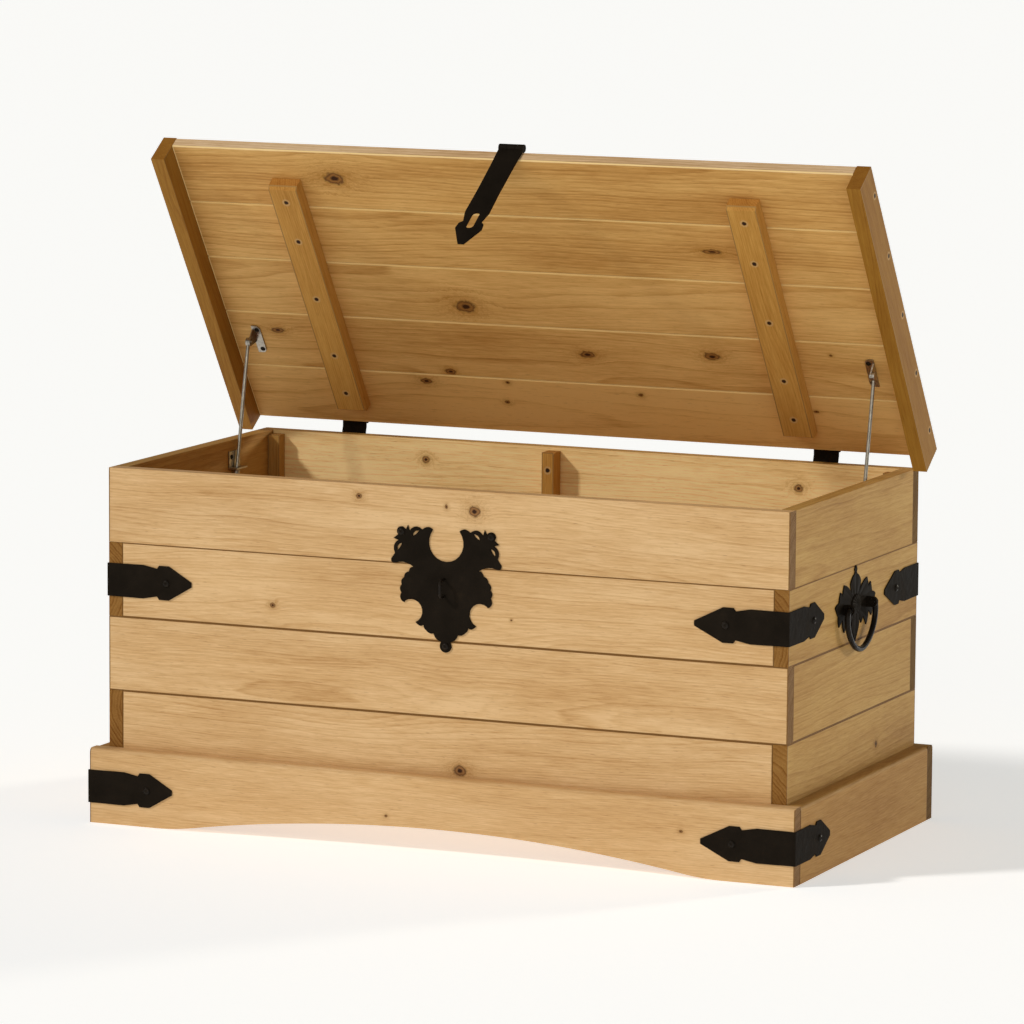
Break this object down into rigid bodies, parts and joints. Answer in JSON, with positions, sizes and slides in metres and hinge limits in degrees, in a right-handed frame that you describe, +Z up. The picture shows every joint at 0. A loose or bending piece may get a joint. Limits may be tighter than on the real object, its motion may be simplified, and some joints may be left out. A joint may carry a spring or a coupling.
{
  "type": "toy chest",
  "caption": "Boarded pine storage chest with a hinged plank lid on stays, an arched plinth, iron corner straps, a hasp with staple and plate, and drop bail handles.",
  "frame": {"origin": "on the floor under the middle of the chest's overall box", "axes": "+X to the right along the front, +Y from the front to the back, +Z up; stored with the lid held open by its stays"},
  "size_m": [1.0504, 0.539, 0.9405],
  "materials": {
    "pine": "clear lacquered knotty pine, satin",
    "lid_pine": "clear lacquered knotty pine, satin, a little browner on the lid",
    "plywood": "bare plywood panel",
    "black_iron": "black painted wrought iron, satin",
    "zinc": "bright zinc plated steel"
  },
  "bodies": {
    "carcass": {"front_board_1": "pine", "back_board_1": "pine", "left_board_1": "pine", "right_board_1": "pine", "front_board_2": "pine", "back_board_2": "pine", "left_board_2": "pine", "right_board_2": "pine", "front_board_3": "pine", "back_board_3": "pine", "left_board_3": "pine", "right_board_3": "pine", "front_board_4": "pine", "back_board_4": "pine", "left_board_4": "pine", "right_board_4": "pine", "bottom_panel": "plywood", "corner_post_front_left": "pine", "corner_post_back_left": "pine", "corner_post_front_right": "pine", "corner_post_back_right": "pine", "wall_batten_back": "pine", "wall_batten_front": "pine", "plinth_front": "pine", "plinth_back": "pine", "plinth_left": "pine", "plinth_right": "pine", "corner_strap_upper_front_right": "black_iron", "corner_strap_upper_back_right": "black_iron", "corner_strap_upper_back_left": "black_iron", "corner_strap_upper_front_left": "black_iron", "corner_strap_plinth_front_right": "black_iron", "corner_strap_plinth_front_left": "black_iron", "latch_plate": "black_iron", "latch_staple": "black_iron", "handle_plate_left": "black_iron", "handle_plate_right": "black_iron", "hinge_leaf_left": "black_iron", "hinge_leaf_right": "black_iron", "stay_guide_left": "zinc", "stay_guide_right": "zinc"},
    "lid": {"lid_board_1": "lid_pine", "lid_board_2": "lid_pine", "lid_board_3": "lid_pine", "lid_board_4": "lid_pine", "lid_board_5": "lid_pine", "lid_rail_left": "lid_pine", "lid_rail_right": "lid_pine", "lid_batten_left": "lid_pine", "lid_batten_right": "lid_pine", "hinge_strap_left": "black_iron", "hinge_strap_right": "black_iron", "hasp_leaf": "black_iron", "stay_bracket_left": "zinc", "stay_bracket_right": "zinc"},
    "hasp": {"hasp_strap": "black_iron"},
    "handle_left": {"handle_bail_left": "black_iron"},
    "handle_right": {"handle_bail_right": "black_iron"},
    "stay_left": {"stay_rod_left": "zinc"},
    "stay_right": {"stay_rod_right": "zinc"}
  },
  "joints": [
    {"name": "lid_hinge", "type": "hinge", "parent": "carcass", "child": "lid", "pos_m": [0, 0.25895, 0.512], "axis": [1, 0, 0], "range_deg": [0, 55.6]},
    {"name": "hasp_hinge", "type": "hinge", "parent": "lid", "child": "hasp", "pos_m": [0.004, -0.02469, 0.9351], "axis": [-1, 0, 0], "range_deg": [0, 250]},
    {"name": "handle_swing_left", "type": "hinge", "parent": "carcass", "child": "handle_left", "pos_m": [-0.5102, 0.00235, 0.3355], "axis": [0, 1, 0], "range_deg": [-4, 110]},
    {"name": "handle_swing_right", "type": "hinge", "parent": "carcass", "child": "handle_right", "pos_m": [0.5102, 0.00235, 0.3355], "axis": [0, -1, 0], "range_deg": [-4, 110]},
    {"name": "stay_pivot_left", "type": "hinge", "parent": "lid", "child": "stay_left", "pos_m": [-0.474, 0.13535, 0.63], "axis": [1, 0, 0], "range_deg": [-28, 1]},
    {"name": "stay_pivot_right", "type": "hinge", "parent": "lid", "child": "stay_right", "pos_m": [0.474, 0.13535, 0.63], "axis": [1, 0, 0], "range_deg": [-28, 1]}
  ],
  "couplings": [
    {"joint": "stay_pivot_left", "follows": "lid_hinge", "ratio": -0.488},
    {"joint": "stay_pivot_right", "follows": "lid_hinge", "ratio": -0.488}
  ]
}
